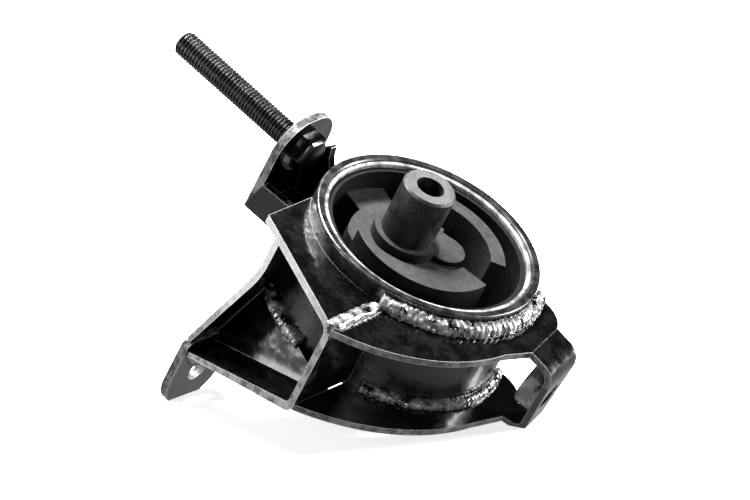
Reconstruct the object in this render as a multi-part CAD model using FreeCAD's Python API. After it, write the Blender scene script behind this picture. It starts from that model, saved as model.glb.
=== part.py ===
"""Engine mount: a rubber bush in a steel ring, held by welded pressed brackets.

Millimetres. The pieces are drawn with Z as the axis of the ring and Z = 0 at its
upper rim, then moved so that the origin is the middle of the bolt bore's top end.
The fixing stud points along -X, so the faces that bolt up stand across X.
"""
import FreeCAD, Part
import math
import os

V = FreeCAD.Vector
Z_AXIS = V(0, 0, 1)
ORIGIN = V(0, 0, 0)

# ---- ring and bush -------------------------------------------------------
RING_OD = 107.6
RING_WALL = 4.1
RING_HEIGHT = 56.0
RING_EDGE = 1.2
SHELL_WALL = 2.0
SHELL_INSET = 1.0
LINING = 2.6
BUSH_INSET = 3.0
SLEEVE_OD = 25.0
BORE = 13.2
SLEEVE_ABOVE = 20.0
SLEEVE_BELOW = 10.0
SLEEVE_CHAMFER = 1.0
SLEEVE_X = -10.2
SLEEVE_Y = 0.0
COLLAR = 3.0
STOP_TOP = 3.0
STOP_R = 34.0
STOP_WIDTH = 7.0
STOP_SWEEP = 124.0
STOP_PAST = 8.0
BODY_TOP = 12.0
BODY_R = 27.0
BODY_FLOOR = 46.0
LEG_WIDTH = 17.0
LEG_FLARE = 1.3
UPPER_STOP_START = 38.0
UPPER_STOP_SWEEP = 72.0
UPPER_STOP_RISE = 1.0
LOBE_R = 9.5
LOBE_Y = 13.5
LOBE_CLEAR = 1.5
LOBE_RISE = 2.5

# ---- sheet metal ---------------------------------------------------------
SHEET = 4.0
ARM_SHEET = 3.2
BEND = 4.0

# ---- tray bracket: a pressing whose rim lies in one plane ---------------
TRAY_TOP = 8.0
TRAY_WEB_DROP = 50.0
TRAY_TURN = 24.6
TRAY_REACH = 72.2
TRAY_WEB_X = 20.5
TRAY_NECK_X = -37.0
TRAY_NECK_DROP = 24.0
TRAY_NECK_R = 45.0
TRAY_FOOT_X = -61.0
TRAY_FOOT_TOP = 92.0
TRAY_SLOPE = 29.0
TRAY_EAR_X = -47.0

# ---- stud, its bracket and the foot -------------------------------------
MOUNT_FACE = 74.0
STUD_D = 12.0
STUD_LENGTH = 72.0
STUD_Y = -10.9
STUD_DROP = 3.0
STUD_NECK = 0.5
HEAD_AF = 18.0
HEAD_H = 7.5
PLATE_R = 17.5
PLATE_DROP = 35.0
GUSSET_Y = 1.0
GUSSET_TOP = 0.0
SIDE_TOP = 20.0
FOOT_FACE = 57.0
FOOT_Y = -37.0
FOOT_WIDTH = 38.0
FOOT_DROP = 113.0
FOOT_HOLE = 12.6

# ---- arm -----------------------------------------------------------------
ARM_TOP = 8.0
ARM_TURN = 13.3
ARM_END = 69.5
ARM_NEAR = -20.0
ARM_END_WIDTH = 27.0
ARM_TAPER = 12.5
ARM_RING_FAR = 34.0
ARM_SHOULDER = 11.0
ARM_FALL = 3.0
ARM_LEAN = 4.0
WALL_STEP = 4.0
NUT_AF = 19.0
NUT_H = 9.0
NUT_HOLE = 13.5
NUT_THREAD = 10.3
NUT_SIDE = -6.0
NUT_DROP = 32.0

# ---- welds ---------------------------------------------------------------
BEAD = 5.5
SMALL_BEAD = 4.0
TACK = 2.2

# ---- sizes that follow ---------------------------------------------------
RING_R = RING_OD / 2
SHELL_R = RING_R - RING_WALL
LINING_R = SHELL_R - SHELL_WALL
WINDOW_R = LINING_R - LINING
SLEEVE_R = SLEEVE_OD / 2
STUD_R = STUD_D / 2
TRAY_OUT = V(-math.sin(math.radians(TRAY_TURN)), -math.cos(math.radians(TRAY_TURN)), 0)
ARM_OUT = V(math.cos(math.radians(ARM_TURN)), math.sin(math.radians(ARM_TURN)), 0)
ARM_SIDE = V(-math.sin(math.radians(ARM_TURN)), math.cos(math.radians(ARM_TURN)), 0)
ARM_BOTTOM = RING_HEIGHT
DATUM = V(SLEEVE_X, SLEEVE_Y, SLEEVE_ABOVE)


def save(name, shape):
    """Write one piece, moved to the bore's datum and free of seams, to its STEP file."""
    shape = shape.removeSplitter()
    shape.translate(-DATUM)
    shape.exportStep("parts/" + name + ".step")


def tube(outer, inner, low, high):
    """A tube about the Z axis."""
    body = Part.makeCylinder(outer, high - low, V(0, 0, low))
    return body.cut(Part.makeCylinder(inner, high - low + 2, V(0, 0, low - 1)))


def ring_space():
    """The ring's outside, drawn well past both ends, for what is cut to fit round it."""
    return Part.makeCylinder(RING_R, 3 * RING_HEIGHT, V(0, 0, -2 * RING_HEIGHT))


def cylinder(x, y, low, high, radius):
    return Part.makeCylinder(radius, high - low, V(x, y, low))


def rounded(points, radii):
    """Closed wire through the points, with each corner rounded by its radius."""
    edges = []
    starts = []
    ends = []
    count = len(points)
    for i, corner in enumerate(points):
        before = (points[i - 1] - corner).normalize()
        after = (points[(i + 1) % count] - corner).normalize()
        half = before.getAngle(after) / 2
        radius = radii[i]
        if radius == 0:
            starts.append(corner)
            ends.append(corner)
            edges.append(None)
            continue
        run = radius / math.tan(half)
        middle = (before + after).normalize()
        centre = corner + middle * (radius / math.sin(half))
        starts.append(corner + before * run)
        ends.append(corner + after * run)
        edges.append(Part.Arc(starts[-1], centre - middle * radius, ends[-1]).toShape())
    outline = []
    for i in range(count):
        if edges[i]:
            outline.append(edges[i])
        following = starts[(i + 1) % count]
        if ends[i].distanceToPoint(following) > 1e-6:
            outline.append(Part.LineSegment(ends[i], following).toShape())
    return Part.Wire(Part.__sortEdges__(outline))


def plate(points, radii, normal, thickness):
    """A flat plate on an outline with rounded corners."""
    return Part.Face(rounded(points, radii)).extrude(normal * thickness)


def hexagon(across, height, centre, axis):
    """A hexagonal prism with its ends chamfered, as on a nut or a bolt head."""
    turn = FreeCAD.Rotation(Z_AXIS, axis)
    corner = across / math.sqrt(3)
    points = []
    for i in range(7):
        angle = math.radians(60 * i + 30)
        points.append(V(corner * math.cos(angle), corner * math.sin(angle), 0))
    body = Part.Face(Part.makePolygon(points)).extrude(V(0, 0, height))
    dome = Part.makeCone(corner + height, across / 2 * 0.96, corner + height - across / 2 * 0.96)
    dome.translate(V(0, 0, height - (corner + height - across / 2 * 0.96)))
    body = body.common(dome)
    body.Placement = FreeCAD.Placement(centre, turn)
    return body


# ---- ring and bush -------------------------------------------------------

def housing_ring():
    ring = tube(RING_R, SHELL_R, -RING_HEIGHT, 0)
    outer = [e for e in ring.Edges if len(e.Vertexes) == 1 and abs(e.Curve.Radius - RING_R) < 1e-6]
    ring = ring.makeFillet(RING_EDGE, outer)
    inner = [e for e in ring.Edges if len(e.Vertexes) == 1 and abs(e.Curve.Radius - SHELL_R) < 1e-6]
    return ring.makeChamfer(RING_EDGE / 2, inner)


def outer_sleeve():
    shell = tube(SHELL_R, LINING_R, SHELL_INSET - RING_HEIGHT, -SHELL_INSET)
    edges = [e for e in shell.Edges if len(e.Vertexes) == 1]
    return shell.makeChamfer(SHELL_WALL / 5, edges)


def inner_sleeve():
    length = SLEEVE_ABOVE + RING_HEIGHT + SLEEVE_BELOW
    low = -RING_HEIGHT - SLEEVE_BELOW
    sleeve = cylinder(SLEEVE_X, SLEEVE_Y, low, low + length, SLEEVE_R)
    sleeve = sleeve.cut(cylinder(SLEEVE_X, SLEEVE_Y, low - 1, low + length + 1, BORE / 2))
    edges = [e for e in sleeve.Edges if len(e.Vertexes) == 1 and e.Curve.Radius > BORE / 2 + 1]
    return sleeve.makeChamfer(SLEEVE_CHAMFER, edges)


def sector(inner, outer, start, sweep, low, high):
    """Part of a tube about the Z axis, from one angle over a sweep."""
    points = [V(inner, 0, low), V(outer, 0, low), V(outer, 0, high), V(inner, 0, high), V(inner, 0, low)]
    body = Part.Face(Part.makePolygon(points)).revolve(ORIGIN, Z_AXIS, sweep)
    body.rotate(ORIGIN, Z_AXIS, start)
    return body


def leg(angle, low, high):
    """A rubber leg from the sleeve to the lining, wider where it meets the lining."""
    reach = LINING_R - LINING / 2
    end = V(reach * math.cos(math.radians(angle)), reach * math.sin(math.radians(angle)), low)
    root = V(SLEEVE_X, SLEEVE_Y, low)
    along = (end - root).normalize()
    across = V(-along.y, along.x, 0)
    near_half = across * LEG_WIDTH / 2
    far_half = near_half * LEG_FLARE
    points = [root - near_half, end - far_half, end + far_half, root + near_half]
    points.append(points[0])
    return Part.Face(Part.makePolygon(points)).extrude(V(0, 0, high - low))


def rubber_lining():
    """The sleeve of rubber bonded inside the bush's outer sleeve."""
    return tube(LINING_R, WINDOW_R, BUSH_INSET - RING_HEIGHT, -BUSH_INSET)


def rubber_bush():
    """The moulding inside the lining: eccentric body, legs and two raised bump stops."""
    floor = -BODY_FLOOR
    body = cylinder(SLEEVE_X, SLEEVE_Y, floor, -BODY_TOP, BODY_R)
    body = body.common(cylinder(0, 0, floor, -BODY_TOP, STOP_R))
    lower = sector(0.001, STOP_R, -STOP_SWEEP, STOP_SWEEP + STOP_PAST, floor, -STOP_TOP)
    lower = lower.cut(cylinder(SLEEVE_X, SLEEVE_Y + 2, floor - 1, 0, BODY_R + STOP_WIDTH / 2))
    upper = sector(STOP_R - STOP_WIDTH / 2, STOP_R + STOP_WIDTH / 2,
                   UPPER_STOP_START, UPPER_STOP_SWEEP, floor, UPPER_STOP_RISE - STOP_TOP)
    web = sector(BODY_R - 12, STOP_R - 1, -STOP_SWEEP, STOP_SWEEP, floor, -BODY_TOP)
    lobe = cylinder(SLEEVE_X + SLEEVE_R + LOBE_CLEAR, LOBE_Y, floor, LOBE_RISE - BODY_TOP, LOBE_R)
    legs = [leg(166, floor, -BODY_TOP - 1), leg(247, floor, -BODY_TOP - 16), leg(84, floor, -BODY_TOP - 18)]
    collar = cylinder(SLEEVE_X, SLEEVE_Y, floor - 2, 5 - BODY_TOP, SLEEVE_R + COLLAR)
    rubber = body.fuse([web, lower, upper, lobe] + legs)
    rubber = rubber.cut(sector(STOP_R - 8.5, STOP_R - STOP_WIDTH / 2, 46, 58, -BODY_TOP - 14, 1))
    rubber = rubber.fuse(collar)
    rubber = rubber.cut(cylinder(SLEEVE_X, SLEEVE_Y, -RING_HEIGHT - 30, SLEEVE_ABOVE + 5, SLEEVE_R))
    return rubber.common(cylinder(0, 0, -RING_HEIGHT, 5, WINDOW_R))


# ---- tray bracket --------------------------------------------------------

def tray_profile(inset):
    """The tray's outline seen along Y, moved inwards by an inset, with its corner radii."""
    slope = math.radians(TRAY_SLOPE)
    turn = math.tan((math.pi / 2 - slope) / 2)
    foot_x = TRAY_FOOT_X
    web_low = TRAY_TOP + TRAY_WEB_DROP
    foot_low = web_low + (TRAY_WEB_X - foot_x) * math.tan(slope)
    neck = TRAY_TOP + TRAY_NECK_DROP
    lean = math.atan2(foot_x - TRAY_NECK_X, foot_low - neck)
    corners = [
        (TRAY_NECK_X + inset, TRAY_TOP + inset),
        (TRAY_WEB_X - inset, TRAY_TOP + inset),
        (TRAY_WEB_X - inset, web_low - inset * turn),
        (foot_x + inset / math.cos(lean), foot_low - inset / math.cos(slope)),
        (TRAY_NECK_X + inset, neck + inset * math.tan(lean / 2)),
    ]
    points = [V(x, 0, -drop) for x, drop in corners]
    radii = [0, BEND + SHEET - inset, BEND + SHEET - inset, 0, TRAY_NECK_R + inset]
    return points, radii


def behind_rim(depth):
    """Everything that lies behind the tray's rim plane by at least a depth."""
    half = 400
    block = Part.makeBox(2 * half, half, 2 * half, V(-half, 0, -half))
    block.rotate(ORIGIN, Z_AXIS, -TRAY_TURN)
    block.translate(TRAY_OUT * (TRAY_REACH - depth))
    return block


def above(level):
    """Everything above a level."""
    half = 400
    return Part.makeBox(2 * half, 2 * half, half, V(-half, -half, level))


def tray_bracket():
    """One pressing: top, web, sloping floor and neck walls round a low back plate."""
    depth = 2 * TRAY_REACH
    points, radii = tray_profile(0)
    inner, tight = tray_profile(SHEET)
    front = V(0, -depth, 0)
    solid = plate(points, radii, V(0, 1, 0), depth)
    solid.translate(front)
    hollow = plate(inner, tight, V(0, 1, 0), depth)
    hollow.translate(front)
    back_depth = TRAY_REACH - RING_R
    walls = solid.cut(hollow)
    low_walls = walls.cut(behind_rim(back_depth + SHEET))
    high_walls = walls.common(above(-RING_HEIGHT + SHEET))
    back = solid.common(behind_rim(back_depth)).cut(behind_rim(back_depth + SHEET))
    back = back.cut(above(-RING_HEIGHT + SHEET))
    ear_points = [
        V(TRAY_EAR_X, -TRAY_REACH, -TRAY_TOP), V(TRAY_NECK_X + SHEET, -TRAY_REACH, -TRAY_TOP),
        V(TRAY_NECK_X + SHEET, 0, -TRAY_TOP), V(TRAY_EAR_X, -RING_R / 2, -TRAY_TOP),
    ]
    ear = plate(ear_points, [0, 0, 0, 0], -Z_AXIS, SHEET)
    tray = low_walls.fuse([high_walls, back, ear])
    tray = tray.common(behind_rim(0))
    foot_limit = Part.makeBox(200, 400, 400, V(-FOOT_FACE + SHEET - 200, -200, -TRAY_FOOT_TOP - 400))
    tray = tray.cut(foot_limit)
    return tray.cut(Part.makeCylinder(RING_R, RING_HEIGHT + 100, V(0, 0, -RING_HEIGHT)))


# ---- stud bracket, stud and foot ----------------------------------------

def stud_centre(x):
    return V(x, STUD_Y, -STUD_DROP)


def stud_bracket():
    """Stud plate with a round top, a floor, a low side wall and a gusset to the ring."""
    near = STUD_Y - PLATE_R
    far = STUD_Y + PLATE_R + 3
    low = -PLATE_DROP
    top = -STUD_DROP + PLATE_R - 2
    outline = [
        V(-MOUNT_FACE, near, low), V(-MOUNT_FACE, far, low),
        V(-MOUNT_FACE, far, top), V(-MOUNT_FACE, near, top),
    ]
    face = plate(outline, [0, 4, PLATE_R - 1, PLATE_R - 1], V(1, 0, 0), SHEET)
    hole = Part.makeCylinder(STUD_R + STUD_NECK, 3 * SHEET, stud_centre(-MOUNT_FACE - SHEET), V(1, 0, 0))
    face = face.cut(hole)
    side_outline = [
        V(-MOUNT_FACE, near, low), V(-RING_R / 2, near, low),
        V(-RING_R / 2, near, -SIDE_TOP + 2), V(-MOUNT_FACE, near, -SIDE_TOP),
    ]
    side = plate(side_outline, [0, 0, 0, 0], V(0, 1, 0), SHEET)
    back = MOUNT_FACE - SHEET
    gusset_outline = [
        V(-back, GUSSET_Y, low), V(-RING_R / 2, GUSSET_Y, low),
        V(-RING_R / 2, GUSSET_Y, -18), V(-back + 12.5, GUSSET_Y, -12),
        V(-back + 9, GUSSET_Y, -6), V(-back + 7.6, GUSSET_Y, GUSSET_TOP),
        V(-back + 3, GUSSET_Y, -5), V(-back, GUSSET_Y, -17),
    ]
    gusset = plate(gusset_outline, [0, 0, 0, 3, 2, 0.8, 3, 0], V(0, 1, 0), SHEET)
    floor = Part.makeBox(MOUNT_FACE - RING_R / 2, GUSSET_Y - near, SHEET, V(-MOUNT_FACE, near, low))
    bracket = face.fuse([side, gusset, floor])
    return bracket.cut(ring_space())


def stud_bolt():
    """Hex-headed stud bolt, with a neck pressed into the plate and its head welded behind."""
    tip = -MOUNT_FACE - STUD_LENGTH
    shank = Part.makeCylinder(STUD_R, STUD_LENGTH + SHEET + 1, stud_centre(tip), V(1, 0, 0))
    neck = Part.makeCylinder(STUD_R + STUD_NECK, SHEET, stud_centre(-MOUNT_FACE), V(1, 0, 0))
    tip_edge = [e for e in shank.Edges if len(e.Vertexes) == 1 and e.BoundBox.XMax < tip + 0.01]
    shank = shank.makeChamfer(1.2, tip_edge)
    head = hexagon(HEAD_AF, HEAD_H, stud_centre(-MOUNT_FACE + SHEET), V(1, 0, 0))
    return shank.fuse([neck, head])


def foot_plate():
    """The lower fixing plate, rounded below, with the second bolt hole."""
    near = FOOT_Y - FOOT_WIDTH / 2
    far = FOOT_Y + FOOT_WIDTH / 2
    top = -TRAY_FOOT_TOP
    low = -FOOT_DROP - FOOT_WIDTH / 2
    outline = [
        V(-FOOT_FACE, near, low), V(-FOOT_FACE, far, low),
        V(-FOOT_FACE, far, top), V(-FOOT_FACE, near, top),
    ]
    foot = plate(outline, [FOOT_WIDTH / 2 - 2, FOOT_WIDTH / 2 - 2, 5, 3], V(1, 0, 0), SHEET)
    hole = Part.makeCylinder(FOOT_HOLE / 2, 3 * SHEET, V(-FOOT_FACE - SHEET, FOOT_Y, -FOOT_DROP), V(1, 0, 0))
    return foot.cut(hole)


# ---- arm -----------------------------------------------------------------

def arm_point(out, side, drop):
    """A point in the arm end's own frame."""
    return ARM_OUT * out + ARM_SIDE * side - Z_AXIS * drop


def strip_outline(points, offset):
    """The bent line of the strap, moved sideways by an offset, as 2-D pairs."""
    moved = []
    for i, here in enumerate(points):
        before = points[max(i - 1, 0)]
        after = points[min(i + 1, len(points) - 1)]
        a = (here - before) if i > 0 else (after - here)
        b = (after - here) if i < len(points) - 1 else a
        a = V(a.x, a.y, 0).normalize()
        b = V(b.x, b.y, 0).normalize()
        left_a = V(-a.y, a.x, 0)
        left_b = V(-b.y, b.x, 0)
        bisector = (left_a + left_b).normalize()
        moved.append(here + bisector * (offset / bisector.dot(left_a)))
    return moved


def arm_end():
    """The folded end of the arm: shoulder, end wall and return, in one strip."""
    base = ARM_END
    wall_high, wall_low = wall_ends()
    line = [
        V(base - 6, -ARM_TOP, 0), V(base, -ARM_TOP, 0),
        V(wall_high[0], -wall_high[1], 0), V(wall_low[0], -wall_low[1], 0),
        V(base - 6, -ARM_BOTTOM, 0),
    ]
    inside = strip_outline(line, -ARM_SHEET)
    bends = [0, 6, BEND + ARM_SHEET + 2, BEND + ARM_SHEET, 0]
    tight = [0, 6 + ARM_SHEET, BEND + 2, BEND, 0]
    points = line + inside[::-1]
    radii = bends + [0] + tight[3:0:-1] + [0]
    place = [ARM_OUT * p.x + Z_AXIS * p.y + ARM_SIDE * ARM_NEAR for p in points]
    return plate(place, radii, ARM_SIDE, ARM_END_WIDTH)


def flange(drop, near_end, edge_points, left):
    """A flange of the arm: hugs the ring inside and follows a long curve outside."""
    start, middle, end = edge_points
    far = arm_point(ARM_END, ARM_NEAR + ARM_END_WIDTH, 0)
    low = V(0, 0, -drop)
    far_ring = math.radians(ARM_RING_FAR)
    ring_far = V(RING_R * math.cos(far_ring), RING_R * math.sin(far_ring), 0)
    edges = [
        Part.LineSegment(V(left, -40, 0), start).toShape(),
        Part.Arc(start, middle, end).toShape(),
        Part.LineSegment(end, near_end).toShape(),
        Part.LineSegment(near_end, far).toShape(),
        Part.Arc(far, V(61.0, 28.4, 0), ring_far).toShape(),
        Part.LineSegment(ring_far, V(left, -40, 0)).toShape(),
    ]
    face = Part.Face(Part.Wire(edges))
    face.translate(low)
    return face.extrude(V(0, 0, -ARM_SHEET))


def arm_strap():
    """The arm: two flanges welded round the ring and a folded end with the nut."""
    left = TRAY_WEB_X
    top_edge = (V(left, -90.0, 0), V(52.2, -62.2, 0), V(67.8, -18.0, 0))
    low_edge = (V(left, -89.0, 0), V(53.0, -53.0, 0), V(66.1, -10.9, 0))
    top = flange(ARM_TOP, arm_point(ARM_END, ARM_NEAR, 0), top_edge, left)
    low = flange(ARM_BOTTOM - ARM_SHEET, arm_point(ARM_END, ARM_NEAR + ARM_TAPER, 0), low_edge, left)
    end = arm_end()
    wedge = [
        arm_point(ARM_END - 20, ARM_NEAR, 20.0), arm_point(ARM_END - 20, ARM_NEAR + ARM_TAPER, ARM_BOTTOM),
        arm_point(ARM_END - 20, ARM_NEAR + ARM_TAPER, ARM_BOTTOM + 1),
        arm_point(ARM_END - 20, ARM_NEAR - 5, ARM_BOTTOM + 1), arm_point(ARM_END - 20, ARM_NEAR - 5, 20.0),
    ]
    wedge_face = Part.Face(Part.makePolygon(wedge + [wedge[0]]))
    end = end.cut(wedge_face.extrude(ARM_OUT * 60))
    strap = top.fuse([low, end])
    strap = strap.cut(ring_space())
    axis = nut_axis()
    return strap.cut(Part.makeCylinder(NUT_HOLE / 2, 4 * ARM_SHEET, nut_seat() - axis * ARM_SHEET, axis))


def wall_ends():
    """Top and bottom of the end wall's outside line, as distance out and drop."""
    reach = ARM_END + ARM_SHOULDER + WALL_STEP
    return (reach, ARM_TOP + ARM_FALL + WALL_STEP * 0.3), (reach - ARM_LEAN, ARM_BOTTOM)


def nut_axis():
    """Direction out through the end wall, square to it."""
    (high_out, high), (low_out, low) = wall_ends()
    return (ARM_OUT * (low - high) - Z_AXIS * (high_out - low_out)).normalize()


def nut_seat():
    """Middle of the nut's seat, on the inside of the end wall."""
    (high_out, high), (low_out, low) = wall_ends()
    share = (NUT_DROP - high) / (low - high)
    surface = arm_point(high_out + (low_out - high_out) * share, NUT_SIDE, NUT_DROP)
    return surface - nut_axis() * ARM_SHEET


def arm_weld_nut():
    """Hexagon weld nut on the inside of the end wall."""
    axis = nut_axis()
    nut = hexagon(NUT_AF, NUT_H, nut_seat(), -axis)
    return nut.cut(Part.makeCylinder(NUT_THREAD / 2, 3 * NUT_H, nut_seat() + axis * NUT_H, -axis))


# ---- welds ---------------------------------------------------------------

def ring_bead(drop, radius, start, sweep):
    """A round bead in the corner between the ring's wall and a plate, along an arc."""
    middle = V(RING_R + radius * 0.15, 0, -drop + radius * 0.15)
    section = Part.Face(Part.Wire(Part.makeCircle(radius, middle, V(0, 1, 0))))
    bead = section.revolve(ORIGIN, Z_AXIS, sweep)
    bead.rotate(ORIGIN, Z_AXIS, start)
    return bead


def straight_bead(start, end, radius):
    """A round bead between two points, with domed ends."""
    run = end - start
    bead = Part.makeCylinder(radius, run.Length, start, run)
    return bead.fuse([Part.makeSphere(radius, start), Part.makeSphere(radius, end)])


def fill(bead, neighbours):
    """Keep only the part of a bead that stands clear of the metal it joins."""
    for piece in neighbours:
        bead = bead.cut(piece)
    return max(bead.Solids, key=lambda solid: solid.Volume)


def weld_nut_tacks(neighbours):
    """Three tacks that hold the weld nut."""
    axis = nut_axis()
    across = axis.cross(ARM_SIDE).normalize()
    reach = NUT_AF / math.sqrt(3) * 0.97
    tacks = []
    for turn in (30, 150, 270):
        angle = math.radians(turn)
        side = ARM_SIDE * math.cos(angle) + across * math.sin(angle)
        ball = Part.makeSphere(TACK, nut_seat() + side * reach - axis * TACK / 4)
        tacks.append(fill(ball, neighbours))
    return Part.makeCompound(tacks)


def weld_stud_head(neighbours):
    """An arc of weld round the lower half of the stud's head."""
    middle = stud_centre(TACK / 4 - MOUNT_FACE + SHEET) + V(0, HEAD_AF / 2 + TACK / 2, 0)
    section = Part.Face(Part.Wire(Part.makeCircle(TACK, middle, Z_AXIS)))
    arc = section.revolve(stud_centre(0), V(1, 0, 0), -150)
    arc.rotate(stud_centre(0), V(1, 0, 0), -30)
    return fill(arc, neighbours)


def weld_upright(y, top, radius, neighbours):
    """A bead up the ring's wall, where a wall of the stud bracket meets it."""
    x = -math.sqrt(RING_R ** 2 - y ** 2)
    return fill(straight_bead(V(x, y, radius - PLATE_DROP), V(x, y, -top), radius), neighbours)


def main():
    os.makedirs("parts", exist_ok=True)
    ring = housing_ring()
    tray = tray_bracket()
    bracket = stud_bracket()
    stud = stud_bolt()
    foot = foot_plate()
    strap = arm_strap()
    nut = arm_weld_nut()
    save("housing_ring", ring)
    save("bush_outer_sleeve", outer_sleeve())
    save("bush_inner_sleeve", inner_sleeve())
    save("rubber_lining", rubber_lining())
    save("rubber_bush", rubber_bush())
    save("tray_bracket", tray)
    save("stud_bracket", bracket)
    save("stud_bolt", stud)
    save("foot_plate", foot)
    save("arm_strap", strap)
    save("arm_weld_nut", nut)

    corner = -math.degrees(math.acos(TRAY_WEB_X / RING_R))
    top_bead = ring_bead(ARM_TOP, BEAD, corner - 4, ARM_RING_FAR - corner)
    top_bead = fill(top_bead, [ring, strap, tray])
    low_bead = ring_bead(ARM_BOTTOM - ARM_SHEET, SMALL_BEAD, corner + 6, ARM_RING_FAR - corner - 10)
    tray_bead = ring_bead(RING_HEIGHT - SHEET, SMALL_BEAD, -132, 36)
    seam_y = -math.sqrt((RING_R + BEAD) ** 2 - TRAY_WEB_X ** 2) - BEAD / 2
    seam_x = TRAY_WEB_X - BEAD / 4
    seam_start = V(seam_x, seam_y, -ARM_TOP - 1)
    seam_end = V(seam_x, -TRAY_REACH - 13, -ARM_TOP - 1)
    seam = straight_bead(seam_start, seam_end, BEAD * 0.8)
    foot_x = SHEET - FOOT_FACE
    joint = straight_bead(V(foot_x, FOOT_Y - 16, -TRAY_FOOT_TOP - 3), V(foot_x, FOOT_Y - 8, -104), SMALL_BEAD)
    save("weld_arm_ring_top", top_bead)
    save("weld_arm_ring_bottom", fill(low_bead, [ring, strap, tray]))
    save("weld_tray_ring", fill(tray_bead, [ring, tray]))
    save("weld_arm_tray", fill(seam, [tray, strap, ring, top_bead]))
    save("weld_stud_bracket", weld_upright(STUD_Y - PLATE_R, SIDE_TOP, SMALL_BEAD, [ring, bracket, tray]))
    save("weld_stud_gusset", weld_upright(GUSSET_Y + SHEET, SIDE_TOP, SMALL_BEAD * 0.7, [ring, bracket]))
    save("weld_stud_head", weld_stud_head([bracket, stud]))
    save("weld_foot", fill(joint, [foot, tray]))
    save("weld_nut_tacks", weld_nut_tacks([strap, nut]))


if __name__ == "__main__":
    main()
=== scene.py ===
import math

import bmesh
import bpy
from mathutils import Matrix, Vector, noise

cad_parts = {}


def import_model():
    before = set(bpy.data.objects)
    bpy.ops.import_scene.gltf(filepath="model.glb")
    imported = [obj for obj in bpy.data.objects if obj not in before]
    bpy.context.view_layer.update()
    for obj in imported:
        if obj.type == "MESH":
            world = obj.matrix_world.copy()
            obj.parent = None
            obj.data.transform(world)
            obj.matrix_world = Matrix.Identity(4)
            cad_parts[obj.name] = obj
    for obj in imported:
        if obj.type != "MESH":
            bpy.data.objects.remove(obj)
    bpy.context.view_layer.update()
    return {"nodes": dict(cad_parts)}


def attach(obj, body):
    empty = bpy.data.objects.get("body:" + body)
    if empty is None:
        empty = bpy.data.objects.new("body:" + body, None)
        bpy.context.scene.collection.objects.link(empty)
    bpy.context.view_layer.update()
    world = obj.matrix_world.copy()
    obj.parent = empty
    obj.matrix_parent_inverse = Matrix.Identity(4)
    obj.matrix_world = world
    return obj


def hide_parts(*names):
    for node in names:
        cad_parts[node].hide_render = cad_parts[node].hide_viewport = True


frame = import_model()
nodes = frame["nodes"]

# The row's origin is the middle of the bolt bore's top end. The ring's axis is
# parallel to Z and its rim lies below the origin. All lengths are in metres.
RING = Vector((0.0102, 0.0, -0.020))
RING_R = 0.0538
STUD_AXIS = (-0.0109, -0.023)
STUD_TIP = -0.1358
STUD_FACE = -0.0638
STUD_R = 0.006
PITCH = 0.00175
THREAD_DEPTH = 0.00095
TIP_CHAMFER = 0.0014
SHEET_WALL = 0.004
HEAD_AF = 0.018
HEAD_H = 0.0075
HEAD_CHAMFER = 0.0016


# ---- shader groups ---------------------------------------------------------

def new_group(name, sockets_in, sockets_out):
    """An empty shader node group with the given sockets."""
    group = bpy.data.node_groups.new(name, "ShaderNodeTree")
    for label, kind, value in sockets_in:
        socket = group.interface.new_socket(name=label, in_out="INPUT", socket_type=kind)
        if value is not None:
            socket.default_value = value
    for label, kind in sockets_out:
        group.interface.new_socket(name=label, in_out="OUTPUT", socket_type=kind)
    return group, group.nodes.new("NodeGroupInput"), group.nodes.new("NodeGroupOutput")


def node(tree, kind, inputs=(), **settings):
    """A node with its settings, its constant inputs and its links, by socket name or index."""
    made = tree.nodes.new(kind)
    for key, value in settings.items():
        setattr(made, key, value)
    for key, value in dict(inputs).items():
        if isinstance(value, bpy.types.NodeSocket):
            tree.links.new(value, made.inputs[key])
        else:
            made.inputs[key].default_value = value
    return made


def ramp(tree, factor, stops):
    """A colour ramp on a factor. Stops are (position, level)."""
    made = node(tree, "ShaderNodeValToRGB", {"Fac": factor})
    band = made.color_ramp.elements
    while len(band) < len(stops):
        band.new(0.5)
    for element, (place, level) in zip(band, stops):
        element.position = place
        element.color = (level, level, level, 1)
    return made.outputs["Color"]


def math_node(tree, operation, a, b=0.0):
    return node(tree, "ShaderNodeMath", {0: a, 1: b}, operation=operation).outputs[0]


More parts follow.
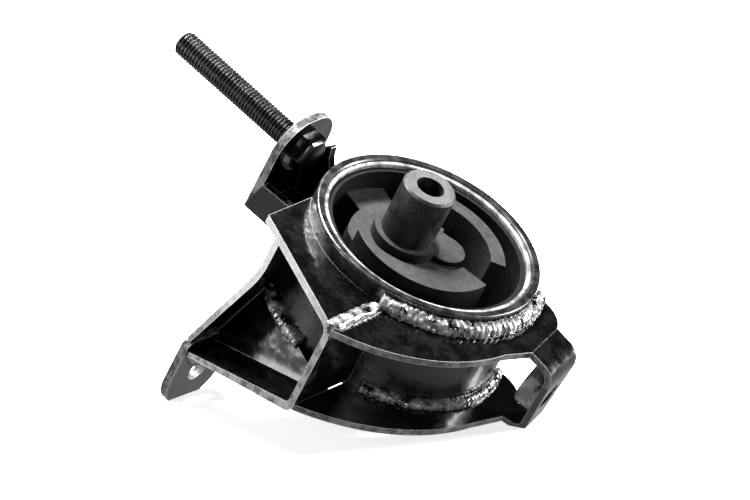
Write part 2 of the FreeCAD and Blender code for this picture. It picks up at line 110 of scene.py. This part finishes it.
def paint_group():
    """Wavy gloss paint: small dents, fine grain, dust specks and worn patches; on the welds the pale patches
    are also painted glints.
    """
    group, start, end = new_group(
        "gloss_paint",
        [("Scale", "NodeSocketFloat", 1.0), ("Waves", "NodeSocketFloat", 0.3),
         ("Grain", "NodeSocketFloat", 0.1)],
        [("Normal", "NodeSocketVector"), ("WearAndGlint", "NodeSocketFloat"), ("Dust", "NodeSocketFloat")],
    )
    place = node(group, "ShaderNodeTexCoord").outputs["Object"]
    scaled = node(group, "ShaderNodeVectorMath", {0: place, 3: start.outputs["Scale"]}, operation="SCALE")
    point = scaled.outputs[0]
    waves = node(group, "ShaderNodeTexNoise", {"Vector": point, "Scale": 70.0, "Detail": 2.0})
    grain = node(group, "ShaderNodeTexNoise", {"Vector": point, "Scale": 900.0, "Detail": 3.0})
    broad = node(group, "ShaderNodeBump", {
        "Strength": start.outputs["Waves"], "Distance": 0.002, "Height": waves.outputs["Fac"]})
    fine = node(group, "ShaderNodeBump", {
        "Strength": start.outputs["Grain"], "Distance": 0.0002, "Height": grain.outputs["Fac"],
        "Normal": broad.outputs["Normal"]})
    patches = node(group, "ShaderNodeTexNoise", {
        "Vector": point, "Scale": 160.0, "Detail": 6.0, "Roughness": 0.65})
    dust = node(group, "ShaderNodeTexVoronoi", {"Vector": point, "Scale": 420.0, "Randomness": 1.0})
    specks = node(group, "ShaderNodeMapRange", {
        "Value": dust.outputs["Distance"], "From Min": 0.06, "From Max": 0.12, "To Min": 1.0, "To Max": 0.0})
    group.links.new(fine.outputs["Normal"], end.inputs["Normal"])
    group.links.new(ramp(group, patches.outputs["Fac"], [(0.42, 0.0), (0.62, 1.0)]), end.inputs["WearAndGlint"])
    group.links.new(specks.outputs["Result"], end.inputs["Dust"])
    return group


def edge_highlight_group():
    """A mask of the sheet's edges and corners, where a paler colour is a painted highlight of the light they
    catch.
    """
    group, start, end = new_group(
        "painted_edge_highlight_mask", [("Width", "NodeSocketFloat", 0.0008)], [("Edge", "NodeSocketFloat")])
    bevel = node(group, "ShaderNodeBevel", {"Radius": start.outputs["Width"]}, samples=4)
    flat = node(group, "ShaderNodeNewGeometry").outputs["Normal"]
    dot = node(group, "ShaderNodeVectorMath", {0: bevel.outputs["Normal"], 1: flat}, operation="DOT_PRODUCT")
    drop = math_node(group, "SUBTRACT", 1.0, dot.outputs["Value"])
    mask = node(group, "ShaderNodeMapRange", {"Value": drop, "From Min": 0.02, "From Max": 0.2})
    group.links.new(mask.outputs["Result"], end.inputs["Edge"])
    return group


def top_light_group():
    """A mask of the faces that look up along the bore, where a paler colour is painted light from above."""
    group, start, end = new_group(
        "painted_top_light_mask", [("Sharpness", "NodeSocketFloat", 0.8)], [("Up", "NodeSocketFloat")])
    normal = node(group, "ShaderNodeNewGeometry").outputs["Normal"]
    height = node(group, "ShaderNodeSeparateXYZ", {"Vector": normal}).outputs["Z"]
    mask = node(group, "ShaderNodeMapRange", {
        "Value": height, "From Min": start.outputs["Sharpness"], "From Max": 1.0})
    group.links.new(mask.outputs["Result"], end.inputs["Up"])
    return group


PAINT = paint_group()
TOP_LIGHT = top_light_group()
EDGE_HIGHLIGHT = edge_highlight_group()


def material(name):
    """A material with a Principled shader alone, its tree and that shader."""
    made = bpy.data.materials.new(name)
    made.use_nodes = True
    tree = made.node_tree
    tree.nodes.clear()
    shader = tree.nodes.new("ShaderNodeBsdfPrincipled")
    output = tree.nodes.new("ShaderNodeOutputMaterial")
    tree.links.new(shader.outputs["BSDF"], output.inputs["Surface"])
    return made, tree, shader


def use(tree, group, **values):
    """One of the shared groups placed in a material, with its own values."""
    made = tree.nodes.new("ShaderNodeGroup")
    made.node_tree = group
    for key, value in values.items():
        made.inputs[key].default_value = value
    return made


def mix_colour(tree, factor, first, second):
    """A blend from the first colour to the second by a factor."""
    made = tree.nodes.new("ShaderNodeMix")
    made.data_type = "RGBA"
    for index, value in ((0, factor), (6, first), (7, second)):
        if isinstance(value, bpy.types.NodeSocket):
            tree.links.new(value, made.inputs[index])
        else:
            made.inputs[index].default_value = value
    return made.outputs[2]


def grey(level):
    """A grey with a slight blue cast."""
    return (level, level, level * 1.02, 1.0)


def painted(name, base, wear_and_glint, rough, waves, grain, edge_highlight=0.0, coat=0.0, lit_top=None):
    """Black paint over steel, with worn patches (on welds also painted glints), dust, painted highlights on
    its edges and a paler top that is painted light from above.
    """
    made, tree, shader = material(name)
    paint = use(tree, PAINT, Waves=waves, Grain=grain)
    colour = mix_colour(tree, paint.outputs["WearAndGlint"], grey(base), grey(wear_and_glint))
    colour = mix_colour(tree, math_node(tree, "MULTIPLY", paint.outputs["Dust"], 0.08), colour, grey(0.35))
    # Painted light: faces that look up are mixed towards a paler grey, as if lit from above.
    if lit_top is not None:
        colour = mix_colour(tree, use(tree, TOP_LIGHT).outputs["Up"], colour, grey(lit_top))
    # Painted highlight: the edges are mixed towards pale grey, as if catching the light.
    if edge_highlight:
        edges = use(tree, EDGE_HIGHLIGHT, Width=0.0007)
        share = math_node(tree, "MULTIPLY", edges.outputs["Edge"], edge_highlight)
        colour = mix_colour(tree, share, colour, grey(0.55))
    tree.links.new(colour, shader.inputs["Base Color"])
    spread = node(tree, "ShaderNodeMapRange", {
        "Value": paint.outputs["WearAndGlint"], "To Min": rough, "To Max": min(rough * 1.7, 1.0)})
    tree.links.new(spread.outputs["Result"], shader.inputs["Roughness"])
    tree.links.new(paint.outputs["Normal"], shader.inputs["Normal"])
    shader.inputs["Specular IOR Level"].default_value = 0.6
    shader.inputs["Coat Weight"].default_value = coat
    shader.inputs["Coat Roughness"].default_value = 0.08
    return made


SHEET = painted(
    "painted_sheet", base=0.001, wear_and_glint=0.004, rough=0.13, waves=0.35, grain=0.06, edge_highlight=0.8, coat=0.4)
RING_PAINT = painted(
    "painted_ring", base=0.004, wear_and_glint=0.012, rough=0.24, waves=0.12, grain=0.10, edge_highlight=0.15, coat=0.2)
CUT = painted(
    "painted_cut_edge", base=0.03, wear_and_glint=0.22, rough=0.24, waves=0.35, grain=0.2, edge_highlight=0.9, coat=0.6)
# The weld's pale patches are partly bare metal and partly painted glints where its ripples catch the light.
WELD = painted("painted_weld", base=0.001, wear_and_glint=0.34, rough=0.10, waves=0.9, grain=0.25, coat=1.0)
SHELL = painted("bush_shell", base=0.10, wear_and_glint=0.40, rough=0.35, waves=0.15, grain=0.4)
STUD = painted(
    "stud_black", base=0.001, wear_and_glint=0.004, rough=0.14, waves=0.05, grain=0.1, edge_highlight=0.1, coat=0.2)
NUT = painted("plain_nut", base=0.22, wear_and_glint=0.50, rough=0.30, waves=0.10, grain=0.3)
# The sleeve's paler top is painted light from above.
SLEEVE = painted(
    "sleeve_phosphate", base=0.001, wear_and_glint=0.005, rough=0.42, waves=0.10, grain=0.8, edge_highlight=0.1, lit_top=0.06)


def rubber_material(name, low, high, shine):
    """Matte moulded rubber, mottled, with a rough skin: low on its sides, high on its tops, as painted shade
    on the sides and painted light on the tops.
    """
    made, tree, shader = material(name)
    paint = use(tree, PAINT, Scale=1.6, Waves=0.25, Grain=1.0)
    side = mix_colour(tree, paint.outputs["WearAndGlint"], grey(low), grey(low * 4))
    lit_top = mix_colour(tree, paint.outputs["WearAndGlint"], grey(high), grey(high * 2.2))
    # Painted light and shade: the tops take the high level and the sides the low one.
    colour = mix_colour(tree, use(tree, TOP_LIGHT).outputs["Up"], side, lit_top)
    colour = mix_colour(tree, math_node(tree, "MULTIPLY", paint.outputs["Dust"], 0.2), colour, grey(0.20))
    tree.links.new(colour, shader.inputs["Base Color"])
    tree.links.new(paint.outputs["Normal"], shader.inputs["Normal"])
    shader.inputs["Roughness"].default_value = 0.62
    shader.inputs["Specular IOR Level"].default_value = shine
    return made


RUBBER = rubber_material("moulded_rubber", low=0.001, high=0.011, shine=0.35)
# The lining is the same rubber as the bush, kept darker as painted shade inside the bore.
SHADED_LINING = rubber_material("rubber_lining", low=0.0004, high=0.002, shine=0.15)

FINISH = {
    "housing_ring": RING_PAINT, "bush_outer_sleeve": SHELL, "bush_inner_sleeve": SLEEVE,
    "rubber_bush": RUBBER, "rubber_lining": SHADED_LINING,
    "tray_bracket": SHEET, "stud_bracket": SHEET, "foot_plate": SHEET, "arm_strap": SHEET,
    "stud_bolt": STUD, "arm_weld_nut": NUT,
}
TRAY_TURN = math.radians(24.6)
ARM_TURN = math.radians(13.3)
TRAY_OUT = Vector((-math.sin(TRAY_TURN), -math.cos(TRAY_TURN), 0))
ARM_SIDE = Vector((-math.sin(ARM_TURN), math.cos(ARM_TURN), 0))
TRAY_RIM_REACH = 0.07
ARM_TOP_FLANGE = -0.0315
ARM_LOW_FLANGE = -0.0727
STUD_PLATE_BACK = -0.0595


def is_cut_edge(name, centre, normal):
    """True for a face that is the sheared edge of a sheet, where the paint is thin."""
    if name == "tray_bracket":
        return normal.dot(TRAY_OUT) > 0.98 and (centre - RING).dot(TRAY_OUT) > TRAY_RIM_REACH
    if name == "arm_strap":
        in_flange = centre.z > ARM_TOP_FLANGE or centre.z < ARM_LOW_FLANGE
        return normal.dot(ARM_SIDE) < -0.95 or (in_flange and abs(normal.z) < 0.1 and normal.y < 0.2)
    if name == "stud_bracket":
        return centre.x < STUD_PLATE_BACK and abs(normal.x) < 0.1
    return name == "foot_plate" and abs(normal.x) < 0.1


def dress_nodes():
    """Gives each CAD node its finish, and the sheet pieces a second one on their cut edges."""
    for name, piece in nodes.items():
        finish = FINISH.get(name, WELD)
        piece.data.materials.clear()
        piece.data.materials.append(finish)
        if finish is not SHEET:
            continue
        piece.data.materials.append(CUT)
        place = piece.matrix_world
        for face in piece.data.polygons:
            normal = (place.to_3x3() @ face.normal).normalized()
            if is_cut_edge(name, place @ face.center, normal):
                face.material_index = 1


# ---- mesh helpers ------------------------------------------------------------

def finish_mesh(name, mesh, finish, stands_for, smooth=True):
    """Turns a bmesh into a piece that rides on the root and stands for CAD nodes."""
    bmesh.ops.recalc_face_normals(mesh, faces=mesh.faces)
    data = bpy.data.meshes.new(name)
    mesh.to_mesh(data)
    mesh.free()
    for face in data.polygons:
        face.use_smooth = smooth
    data.materials.append(finish)
    piece = bpy.data.objects.new(name, data)
    bpy.context.scene.collection.objects.link(piece)
    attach(piece, "root")
    if stands_for:
        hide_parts(*stands_for)
    return piece


def grid_mesh(rings, close_ends=True):
    """A tube mesh from rings of points, each ring with the same count."""
    mesh = bmesh.new()
    rows = [[mesh.verts.new(point) for point in ring] for ring in rings]
    count = len(rings[0])
    for a, b in zip(rows, rows[1:]):
        for i in range(count):
            mesh.faces.new((a[i], a[(i + 1) % count], b[(i + 1) % count], b[i]))
    if close_ends:
        mesh.faces.new(rows[0])
        mesh.faces.new(rows[-1])
    return mesh


# ---- threaded stud -------------------------------------------------------------

CREST = 0.125
FLANK = 0.335


def thread_depth(turns):
    """How far the surface lies below the crest, as a share of the thread's depth."""
    place = turns % 1.0
    return max(0.0, min((place - CREST) / FLANK, 1.0, (1.0 - place) / FLANK))


def threaded_stud():
    """The stud's shank with a rolled M12 x 1.75 thread and a chamfered tip."""
    around = 48
    step = PITCH / 12
    length = STUD_FACE - STUD_TIP
    count = int(length / step) + 1
    rings = []
    for k in range(count + 1):
        along = min(k * step, length)
        tip = max(0.0, TIP_CHAMFER - along)
        ring = []
        for i in range(around):
            angle = 2 * math.pi * i / around
            depth = thread_depth(along / PITCH - i / around) * THREAD_DEPTH
            depth *= min(1.0, (length - along) / PITCH)
            radius = min(STUD_R - depth, STUD_R - tip)
            ring.append((STUD_TIP + along, STUD_AXIS[0] + radius * math.cos(angle),
                         STUD_AXIS[1] + radius * math.sin(angle)))
        rings.append(ring)
    return finish_mesh("threaded_stud", grid_mesh(rings), STUD, ["stud_bolt"], smooth=False)


def bolt_head():
    """Forged hexagon head with a chamfered far side, behind the stud plate."""
    mesh = bmesh.new()
    low = STUD_FACE + SHEET_WALL
    high = low + HEAD_H
    chamfer = high - HEAD_CHAMFER
    corner = HEAD_AF / math.sqrt(3)
    turn = Matrix.Rotation(math.radians(90), 4, "Y")
    place = Matrix.Translation((0.0, *STUD_AXIS)) @ Matrix.Translation(((low + chamfer) / 2, 0.0, 0.0)) @ turn
    bmesh.ops.create_cone(
        mesh, cap_ends=True, segments=6, radius1=corner, radius2=corner, depth=chamfer - low, matrix=place)
    far = max(mesh.faces, key=lambda face: face.calc_center_median().x)
    grown = bmesh.ops.extrude_face_region(mesh, geom=[far])["geom"]
    bmesh.ops.delete(mesh, geom=[far], context="FACES_ONLY")
    rim = [item for item in grown if isinstance(item, bmesh.types.BMVert)]
    centre = Matrix.Translation((0.0, -STUD_AXIS[0], -STUD_AXIS[1]))
    bmesh.ops.scale(mesh, vec=(1.0, 0.86, 0.86), space=centre, verts=rim)
    bmesh.ops.translate(mesh, vec=(HEAD_CHAMFER, 0.0, 0.0), verts=rim)
    bmesh.ops.recalc_face_normals(mesh, faces=mesh.faces)
    bmesh.ops.bevel(
        mesh, geom=mesh.edges[:], offset=0.0004, segments=2, profile=0.5, affect="EDGES", material=-1)
    return finish_mesh("bolt_head", mesh, STUD, [])


# ---- camera, floor and light ------------------------------------------------------

AZIMUTH = math.radians(-65.4084)
ELEVATION = math.radians(33.7796)
ROLL = math.radians(27.6)
TURN = Matrix.Rotation(AZIMUTH, 3, "Z") @ Matrix.Rotation(-ELEVATION, 3, "Y") @ Matrix.Rotation(ROLL, 3, "X")
BACK = TURN @ Vector((1, 0, 0))
RIGHT = TURN @ Vector((0, 1, 0))
UP = TURN @ Vector((0, 0, 1))
AIM = RING - RIGHT * 0.0240 - UP * 0.0067
DISTANCE = 6.0


def camera():
    """A long lens far off, so that the part is seen almost in parallel."""
    data = bpy.data.cameras.new("camera")
    data.lens = 651.0
    data.sensor_width = 36.0
    data.clip_start = 0.02
    holder = bpy.data.objects.new("camera", data)
    turn = Matrix((RIGHT, UP, BACK)).transposed().to_4x4()
    holder.matrix_world = Matrix.Translation(AIM + BACK * DISTANCE) @ turn
    bpy.context.scene.collection.objects.link(holder)
    bpy.context.scene.camera = holder


FLOOR_TILT = math.radians(15)
FLOOR_UP = (UP * math.cos(FLOOR_TILT) + BACK * math.sin(FLOOR_TILT)).normalized()
FLOOR_LEVEL = -0.085
FLOOR_HALF = 3.0


def floor():
    """A white table under the resting part: it keeps the shadow and isn't seen from below."""
    made, tree, shader = material("white_table")
    tree.nodes.remove(shader)
    path = node(tree, "ShaderNodeLightPath")
    cloth = node(tree, "ShaderNodeBsdfDiffuse", {"Color": (0.9, 0.9, 0.9, 1)})
    glow = node(tree, "ShaderNodeEmission", {"Color": (1, 1, 1, 1), "Strength": 0.74})
    dim = node(tree, "ShaderNodeEmission", {"Color": (1, 1, 1, 1), "Strength": 0.45})
    clear = node(tree, "ShaderNodeBsdfTransparent")
    lit = node(tree, "ShaderNodeAddShader", {0: cloth.outputs[0], 1: glow.outputs[0]})
    seen = node(tree, "ShaderNodeMixShader", {
        0: path.outputs["Is Camera Ray"], 1: dim.outputs[0], 2: lit.outputs[0]})
    side = node(tree, "ShaderNodeNewGeometry").outputs["Backfacing"]
    whole = node(tree, "ShaderNodeMixShader", {0: side, 1: seen.outputs[0], 2: clear.outputs[0]})
    output = next(n for n in tree.nodes if n.type == "OUTPUT_MATERIAL")
    tree.links.new(whole.outputs[0], output.inputs["Surface"])
    mesh = bmesh.new()
    across = FLOOR_UP.cross(BACK).normalized()
    along = across.cross(FLOOR_UP)
    middle = RING + FLOOR_UP * FLOOR_LEVEL
    signs = ((-1, -1), (1, -1), (1, 1), (-1, 1))
    corners = [middle + (across * a + along * b) * FLOOR_HALF for a, b in signs]
    face = mesh.faces.new([mesh.verts.new(c) for c in corners])
    face.normal_update()
    if face.normal.dot(FLOOR_UP) < 0:
        face.normal_flip()
    data = bpy.data.meshes.new("table")
    mesh.to_mesh(data)
    mesh.free()
    data.materials.append(made)
    table = bpy.data.objects.new("table", data)
    bpy.context.scene.collection.objects.link(table)


def panel(name, direction, distance, width, height, strength, spin=0.0):
    """A soft box on a direction given in the camera's own right, up and back."""
    data = bpy.data.lights.new(name, "AREA")
    data.shape = "RECTANGLE"
    data.size = width
    data.size_y = height
    data.energy = strength
    aim = (RIGHT * direction[0] + UP * direction[1] + BACK * direction[2]).normalized()
    holder = bpy.data.objects.new(name, data)
    turn = aim.to_track_quat("Z", "Y").to_matrix().to_4x4() @ Matrix.Rotation(math.radians(spin), 4, "Z")
    holder.matrix_world = Matrix.Translation(RING + aim * distance) @ turn
    bpy.context.scene.collection.objects.link(holder)


def world():
    """White behind the part, and nearly dark to everything but the camera."""
    made = bpy.data.worlds.new("studio")
    made.use_nodes = True
    tree = made.node_tree
    tree.nodes.clear()
    path = node(tree, "ShaderNodeLightPath")
    white = node(tree, "ShaderNodeBackground", {"Color": (1, 1, 1, 1), "Strength": 1.0})
    dim = node(tree, "ShaderNodeBackground", {"Color": (1, 1, 1, 1), "Strength": 0.02})
    whole = node(tree, "ShaderNodeMixShader", {
        0: path.outputs["Is Camera Ray"], 1: dim.outputs[0], 2: white.outputs[0]})
    output = tree.nodes.new("ShaderNodeOutputWorld")
    tree.links.new(whole.outputs[0], output.inputs["Surface"])
    bpy.context.scene.world = made


# ---- welds -----------------------------------------------------------------------

def ripple(point, centre, axis, pitch):
    """Height of the weld's ripples and spatter at a point, from -1 to 1."""
    offset = point - centre
    if axis is None:
        along = math.atan2(offset.y, offset.x) * RING_R
    else:
        along = offset.dot(axis)
    wander = noise.noise(point * 260.0) * 0.9
    wave = math.sin(2 * math.pi * along / pitch + wander * 3.0)
    return 0.35 * wave + 0.45 * noise.noise(point * 420.0) + 0.9 * wander


def rippled_weld(name, axis, pitch, height):
    """A weld bead with overlapping ripples: the bead's own solid, cut fine and pushed in."""
    source = nodes[name]
    mesh = bmesh.new()
    mesh.from_mesh(source.data)
    mesh.transform(source.matrix_world)
    bmesh.ops.remove_doubles(mesh, verts=mesh.verts, dist=1e-6)
    for _ in range(4):
        long = [edge for edge in mesh.edges if edge.calc_length() > WELD_EDGE]
        if not long:
            break
        bmesh.ops.subdivide_edges(mesh, edges=long, cuts=1)
        bmesh.ops.triangulate(mesh, faces=[face for face in mesh.faces if len(face.verts) > 4])
    mesh.normal_update()
    bmesh.ops.recalc_face_normals(mesh, faces=mesh.faces)
    moves = []
    for vertex in mesh.verts:
        level = ripple(vertex.co, RING, axis, pitch)
        moves.append(vertex.normal * (min(level, 1.0) - 1.0) * height / 2)
    for vertex, move in zip(mesh.verts, moves):
        vertex.co += move
    return finish_mesh(name + "_bead", mesh, WELD, [name])


UPRIGHT = Vector((0, 0, 1))
WELD_EDGE = 0.0007

# Each run's node, the direction its ripples follow, their pitch and their height.
# A run without a direction goes round the ring.
WELDS = (
    ("weld_arm_ring_top", None, 0.0030, 0.0014), ("weld_arm_ring_bottom", None, 0.0028, 0.0009),
    ("weld_tray_ring", None, 0.0028, 0.0010), ("weld_arm_tray", Vector((0, 1, 0)), 0.0030, 0.0012),
    ("weld_stud_bracket", UPRIGHT, 0.0025, 0.0008), ("weld_stud_gusset", UPRIGHT, 0.0025, 0.0007),
    ("weld_stud_head", UPRIGHT, 0.0025, 0.0006), ("weld_foot", UPRIGHT, 0.0025, 0.0007),
    ("weld_nut_tacks", UPRIGHT, 0.0025, 0.0004),
)


def light():
    """One large soft box above, strips at both sides and a narrow one low in front."""
    panel("key_above", (-0.15, 1.0, 0.05), distance=0.8, width=0.50, height=0.20, strength=40)
    panel("strip_left", (-0.95, 0.10, -0.35), distance=0.7, width=0.12, height=0.6, strength=1.6)
    panel("side_left", (-0.92, 0.05, 0.30), distance=0.8, width=0.06, height=0.5, strength=3)
    panel("strip_right", (1.0, 0.15, -0.15), distance=0.7, width=0.12, height=0.6, strength=12)
    panel("front_low", (0.2, -0.3, 1.0), distance=0.9, width=0.05, height=0.4, strength=2, spin=70)


dress_nodes()
for weld_name, run, pitch, height in WELDS:
    rippled_weld(weld_name, run, pitch, height)
threaded_stud()
bolt_head()
camera()
floor()
world()
light()
bpy.context.scene.view_settings.view_transform = "Standard"
